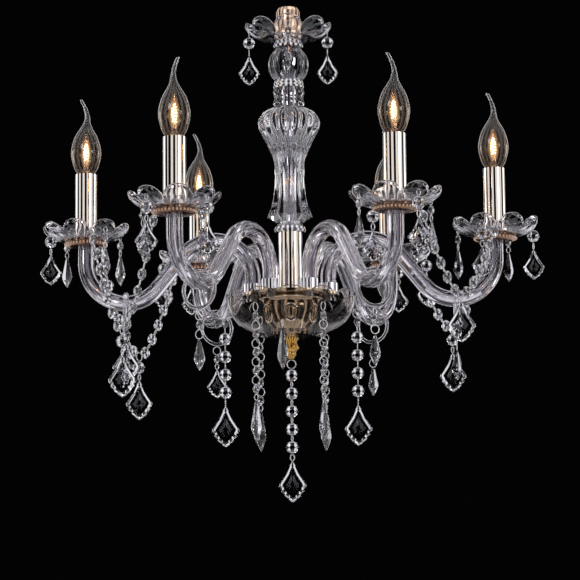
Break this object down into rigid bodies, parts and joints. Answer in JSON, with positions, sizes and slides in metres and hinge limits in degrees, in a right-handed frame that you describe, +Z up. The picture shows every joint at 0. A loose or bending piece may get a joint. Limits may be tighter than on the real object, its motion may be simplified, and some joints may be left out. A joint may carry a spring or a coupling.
{
  "type": "crystal chandelier",
  "caption": "Branched glass chandelier with curved arms, candle lamps in flower-shaped dishes, a faceted glass column and hanging crystal drops, hoops and swags.",
  "frame": {"origin": "centre of the threaded hole at the top face of the stem, where the suspension screws in", "axes": "+Z up along the column, out of the threaded hole; -Y towards the front, where the smallest gap between the two front arms lies; +X to the right seen from the front"},
  "size_m": [0.5684, 0.5074, 0.5685],
  "materials": {
    "crystal": "clear cut glass, polished",
    "lamp_glass": "clear thin glass, lit from inside",
    "gilt": "polished rose gilt",
    "polished_champagne": "mirror-polished pale gilt",
    "bright_chrome": "polished",
    "steel": "zinc-plated",
    "white_plastic": "matt"
  },
  "bodies": {
    "fixture": {"stem_cap": "gilt", "top_dish": "crystal", "column_collars": "bright_chrome", "ribbed_ball": "crystal", "spool_bead": "crystal", "vase": "crystal", "column_tube": "polished_champagne", "centre_pipe": "steel", "arm_plate": "gilt", "hub_cup": "gilt", "terminal_block": "white_plastic", "glass_bowl": "crystal", "finial": "gilt", "glass_arms": "crystal", "arm_ferrules": "gilt", "arm_screws": "steel", "candle_pans": "gilt", "candle_dishes": "crystal", "lamp_holders": "white_plastic", "candle_sleeves": "polished_champagne"},
    "bulb_right": {"bulb_right": "lamp_glass"},
    "hoop_right": {"hoop_right": "crystal"},
    "pendants_right_a": {"pendants_right_a": "crystal"},
    "pendants_right_b": {"pendants_right_b": "crystal"},
    "bulb_rear_right": {"bulb_rear_right": "lamp_glass"},
    "hoop_rear_right": {"hoop_rear_right": "crystal"},
    "pendants_rear_right_a": {"pendants_rear_right_a": "crystal"},
    "pendants_rear_right_b": {"pendants_rear_right_b": "crystal"},
    "bulb_rear_left": {"bulb_rear_left": "lamp_glass"},
    "hoop_rear_left": {"hoop_rear_left": "crystal"},
    "pendants_rear_left_a": {"pendants_rear_left_a": "crystal"},
    "pendants_rear_left_b": {"pendants_rear_left_b": "crystal"},
    "bulb_left": {"bulb_left": "lamp_glass"},
    "hoop_left": {"hoop_left": "crystal"},
    "pendants_left_a": {"pendants_left_a": "crystal"},
    "pendants_left_b": {"pendants_left_b": "crystal"},
    "bulb_front_left": {"bulb_front_left": "lamp_glass"},
    "hoop_front_left": {"hoop_front_left": "crystal"},
    "pendants_front_left_a": {"pendants_front_left_a": "crystal"},
    "pendants_front_left_b": {"pendants_front_left_b": "crystal"},
    "bulb_front_right": {"bulb_front_right": "lamp_glass"},
    "hoop_front_right": {"hoop_front_right": "crystal"},
    "pendants_front_right_a": {"pendants_front_right_a": "crystal"},
    "pendants_front_right_b": {"pendants_front_right_b": "crystal"},
    "pendants_top_a": {"pendants_top_a": "crystal"},
    "pendants_top_b": {"pendants_top_b": "crystal"},
    "swag_front_left": {"swag_front_left": "crystal"},
    "swag_rear_left": {"swag_rear_left": "crystal"},
    "swag_rear_right": {"swag_rear_right": "crystal"},
    "swag_front_right": {"swag_front_right": "crystal"},
    "bowl_string_right": {"bowl_string_right": "crystal"},
    "bowl_string_rear_right": {"bowl_string_rear_right": "crystal"},
    "bowl_string_rear_left": {"bowl_string_rear_left": "crystal"},
    "bowl_string_left": {"bowl_string_left": "crystal"},
    "bowl_string_front_left": {"bowl_string_front_left": "crystal"},
    "bowl_string_front_right": {"bowl_string_front_right": "crystal"},
    "front_drop": {"front_drop": "crystal"},
    "centre_string": {"centre_string": "crystal"}
  },
  "joints": [
    {"name": "bulb_right_turn", "type": "hinge", "parent": "fixture", "child": "bulb_right", "pos_m": [0.23292, -0.0061, -0.1915], "axis": [0, 0, 1], "range_deg": [-180, 180]},
    {"name": "hoop_right_swing", "type": "hinge", "parent": "fixture", "child": "hoop_right", "pos_m": [0.18694, -0.0049, -0.341], "axis": [0.9997, -0.0262, 0], "range_deg": [-20, 20]},
    {"name": "pendants_right_a_swing", "type": "hinge", "parent": "fixture", "child": "pendants_right_a", "pos_m": [0.23292, -0.0061, -0.25757], "axis": [0.4067, 0.9135, 0], "range_deg": [-10, 10]},
    {"name": "pendants_right_b_swing", "type": "hinge", "parent": "fixture", "child": "pendants_right_b", "pos_m": [0.23292, -0.0061, -0.25757], "axis": [-0.9135, 0.4067, 0], "range_deg": [-10, 10]},
    {"name": "bulb_rear_right_turn", "type": "hinge", "parent": "fixture", "child": "bulb_rear_right", "pos_m": [0.12174, 0.19867, -0.1915], "axis": [0, 0, 1], "range_deg": [-180, 180]},
    {"name": "hoop_rear_right_swing", "type": "hinge", "parent": "fixture", "child": "hoop_rear_right", "pos_m": [0.09771, 0.15944, -0.341], "axis": [0.5225, 0.8526, 0], "range_deg": [-20, 20]},
    {"name": "pendants_rear_right_a_swing", "type": "hinge", "parent": "fixture", "child": "pendants_rear_right_a", "pos_m": [0.12174, 0.19867, -0.25757], "axis": [0.2588, 0.9659, 0], "range_deg": [-10, 10]},
    {"name": "pendants_rear_right_b_swing", "type": "hinge", "parent": "fixture", "child": "pendants_rear_right_b", "pos_m": [0.12174, 0.19867, -0.25757], "axis": [-0.9659, 0.2588, 0], "range_deg": [-10, 10]},
    {"name": "bulb_rear_left_turn", "type": "hinge", "parent": "fixture", "child": "bulb_rear_left", "pos_m": [-0.11118, 0.20476, -0.1915], "axis": [0, 0, 1], "range_deg": [-180, 180]},
    {"name": "hoop_rear_left_swing", "type": "hinge", "parent": "fixture", "child": "hoop_rear_left", "pos_m": [-0.08923, 0.16434, -0.341], "axis": [-0.4772, 0.8788, 0], "range_deg": [-20, 20]},
    {"name": "pendants_rear_left_a_swing", "type": "hinge", "parent": "fixture", "child": "pendants_rear_left_a", "pos_m": [-0.11118, 0.20476, -0.25757], "axis": [0.9659, 0.2588, 0], "range_deg": [-10, 10]},
    {"name": "pendants_rear_left_b_swing", "type": "hinge", "parent": "fixture", "child": "pendants_rear_left_b", "pos_m": [-0.11118, 0.20476, -0.25757], "axis": [-0.2588, 0.9659, 0], "range_deg": [-10, 10]},
    {"name": "bulb_left_turn", "type": "hinge", "parent": "fixture", "child": "bulb_left", "pos_m": [-0.23292, 0.0061, -0.1915], "axis": [0, 0, 1], "range_deg": [-180, 180]},
    {"name": "hoop_left_swing", "type": "hinge", "parent": "fixture", "child": "hoop_left", "pos_m": [-0.18694, 0.0049, -0.341], "axis": [-0.9997, 0.0262, 0], "range_deg": [-20, 20]},
    {"name": "pendants_left_a_swing", "type": "hinge", "parent": "fixture", "child": "pendants_left_a", "pos_m": [-0.23292, 0.0061, -0.25757], "axis": [0.832, 0.5548, 0], "range_deg": [-10, 10]},
    {"name": "pendants_left_b_swing", "type": "hinge", "parent": "fixture", "child": "pendants_left_b", "pos_m": [-0.23292, 0.0061, -0.25757], "axis": [-0.5548, 0.832, 0], "range_deg": [-10, 10]},
    {"name": "bulb_front_left_turn", "type": "hinge", "parent": "fixture", "child": "bulb_front_left", "pos_m": [-0.12174, -0.19867, -0.1915], "axis": [0, 0, 1], "range_deg": [-180, 180]},
    {"name": "hoop_front_left_swing", "type": "hinge", "parent": "fixture", "child": "hoop_front_left", "pos_m": [-0.09771, -0.15944, -0.341], "axis": [-0.5225, -0.8526, 0], "range_deg": [-20, 20]},
    {"name": "pendants_front_left_a_swing", "type": "hinge", "parent": "fixture", "child": "pendants_front_left_a", "pos_m": [-0.12174, -0.19867, -0.25757], "axis": [0.6157, 0.788, 0], "range_deg": [-10, 10]},
    {"name": "pendants_front_left_b_swing", "type": "hinge", "parent": "fixture", "child": "pendants_front_left_b", "pos_m": [-0.12174, -0.19867, -0.25757], "axis": [-0.788, 0.6157, 0], "range_deg": [-10, 10]},
    {"name": "bulb_front_right_turn", "type": "hinge", "parent": "fixture", "child": "bulb_front_right", "pos_m": [0.11118, -0.20476, -0.1915], "axis": [0, 0, 1], "range_deg": [-180, 180]},
    {"name": "hoop_front_right_swing", "type": "hinge", "parent": "fixture", "child": "hoop_front_right", "pos_m": [0.08923, -0.16434, -0.341], "axis": [0.4772, -0.8788, 0], "range_deg": [-20, 20]},
    {"name": "pendants_front_right_a_swing", "type": "hinge", "parent": "fixture", "child": "pendants_front_right_a", "pos_m": [0.11118, -0.20476, -0.25757], "axis": [0.866, 0.5, 0], "range_deg": [-10, 10]},
    {"name": "pendants_front_right_b_swing", "type": "hinge", "parent": "fixture", "child": "pendants_front_right_b", "pos_m": [0.11118, -0.20476, -0.25757], "axis": [-0.5, 0.866, 0], "range_deg": [-10, 10]},
    {"name": "pendants_top_a_swing", "type": "hinge", "parent": "fixture", "child": "pendants_top_a", "pos_m": [0, 0, -0.02508], "axis": [1, 0, 0], "range_deg": [-10, 10]},
    {"name": "pendants_top_b_swing", "type": "hinge", "parent": "fixture", "child": "pendants_top_b", "pos_m": [0, 0, -0.02508], "axis": [0, 1, 0], "range_deg": [-10, 10]},
    {"name": "swag_front_left_swing", "type": "hinge", "parent": "fixture", "child": "swag_front_left", "pos_m": [-0.22418, -0.03804, -0.25936], "axis": [0.5514, -0.8342, 0], "range_deg": [-6, 6]},
    {"name": "swag_rear_left_swing", "type": "hinge", "parent": "fixture", "child": "swag_rear_left", "pos_m": [-0.2241, 0.05023, -0.25757], "axis": [0.6162, 0.7876, 0], "range_deg": [-6, 6]},
    {"name": "swag_rear_right_swing", "type": "hinge", "parent": "fixture", "child": "swag_rear_right", "pos_m": [0.2341, 0.03889, -0.25936], "axis": [-0.5968, 0.8023, 0.0118], "range_deg": [-6, 6]},
    {"name": "swag_front_right_swing", "type": "hinge", "parent": "fixture", "child": "swag_front_right", "pos_m": [0.23174, -0.05108, -0.25936], "axis": [-0.6198, -0.7848, 0], "range_deg": [-6, 6]},
    {"name": "bowl_string_right_swing", "type": "hinge", "parent": "fixture", "child": "bowl_string_right", "pos_m": [0.07481, -0.00196, -0.35], "axis": [0.9997, -0.0262, 0], "range_deg": [-15, 15]},
    {"name": "bowl_string_rear_right_swing", "type": "hinge", "parent": "fixture", "child": "bowl_string_rear_right", "pos_m": [0.0391, 0.06381, -0.35], "axis": [0.5225, 0.8526, 0], "range_deg": [-15, 15]},
    {"name": "bowl_string_rear_left_swing", "type": "hinge", "parent": "fixture", "child": "bowl_string_rear_left", "pos_m": [-0.03571, 0.06577, -0.35], "axis": [-0.4772, 0.8788, 0], "range_deg": [-15, 15]},
    {"name": "bowl_string_left_swing", "type": "hinge", "parent": "fixture", "child": "bowl_string_left", "pos_m": [-0.07481, 0.00196, -0.35], "axis": [-0.9997, 0.0262, 0], "range_deg": [-15, 15]},
    {"name": "bowl_string_front_left_swing", "type": "hinge", "parent": "fixture", "child": "bowl_string_front_left", "pos_m": [-0.0391, -0.06381, -0.35], "axis": [-0.5225, -0.8526, 0], "range_deg": [-15, 15]},
    {"name": "bowl_string_front_right_swing", "type": "hinge", "parent": "fixture", "child": "bowl_string_front_right", "pos_m": [0.03571, -0.06577, -0.35], "axis": [0.4772, -0.8788, 0], "range_deg": [-15, 15]},
    {"name": "front_drop_swing", "type": "hinge", "parent": "fixture", "child": "front_drop", "pos_m": [-0.00949, -0.05991, -0.368], "axis": [-0.1564, -0.9877, 0], "range_deg": [-15, 15]},
    {"name": "centre_string_swing", "type": "hinge", "parent": "fixture", "child": "centre_string", "pos_m": [0, 0, -0.407], "axis": [1, 0, 0], "range_deg": [-15, 15]}
  ]
}
